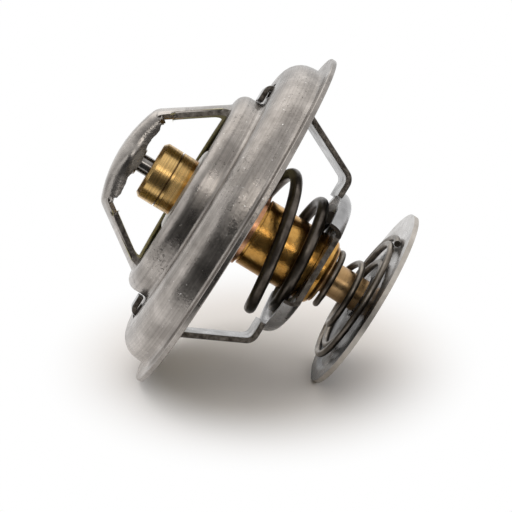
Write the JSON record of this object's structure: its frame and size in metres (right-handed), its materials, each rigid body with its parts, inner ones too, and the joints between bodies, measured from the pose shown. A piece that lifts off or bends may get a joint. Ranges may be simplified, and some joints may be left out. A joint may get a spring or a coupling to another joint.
{
  "type": "engine thermostat",
  "caption": "Flanged coolant thermostat with an arched bridge, wax element, sprung valve plate and sprung bypass disc on a stem.",
  "frame": {"origin": "centre of the flange, on the flange face that seats in the engine", "axes": "+Z along the axis of the valve towards the bridge, +X from the centre towards one arm of the bridge, in the plane of both arms and both hooks of the bracket"},
  "size_m": [0.0662, 0.0662, 0.0537],
  "materials": {
    "shell_steel": "tumbled satin stainless steel with fine pits",
    "bracket_steel": "smooth satin stainless strip with darker sheared edges",
    "spring_steel": "dark drawn spring wire",
    "pin_steel": "ground and polished steel",
    "plate_steel": "pressed stainless steel, dull",
    "disc_steel": "pressed stainless steel with dark specks",
    "case_brass": "polished brass with brown mottling",
    "guide_brass": "turned brass, fine rings",
    "stem_brass": "dull turned brass",
    "sleeve_copper": "thin copper, worn",
    "black_rubber": "black moulded rubber",
    "wiper_plastic": "white seal plastic",
    "wax": "waxy filler"
  },
  "bodies": {
    "housing": {"housing": "shell_steel", "actuating_pin": "pin_steel", "spring_bracket": "bracket_steel", "main_spring": "spring_steel"},
    "valve": {"element_case": "case_brass", "case_sleeve": "sleeve_copper", "guide_bush": "guide_brass", "pin_wiper": "wiper_plastic", "boot_washer": "pin_steel", "rubber_boot": "black_rubber", "wax_charge": "wax", "valve_plate": "plate_steel", "valve_seal": "black_rubber", "spring_washer": "stem_brass", "bypass_stem": "stem_brass", "bypass_spring": "spring_steel", "stem_clip": "spring_steel"},
    "bypass": {"bypass_disc": "disc_steel"}
  },
  "joints": [
    {"name": "valve_opening", "type": "slide", "parent": "housing", "child": "valve", "axis": [0, 0, -1], "range_m": [0, 0.008], "stiffness_N_per_m": 6000, "springref_m": -0.002, "deforming": ["main_spring"]},
    {"name": "bypass_slide", "type": "slide", "parent": "valve", "child": "bypass", "axis": [0, 0, 1], "range_m": [0, 0.004], "stiffness_N_per_m": 1500, "springref_m": -0.001, "deforming": ["bypass_spring"]}
  ]
}
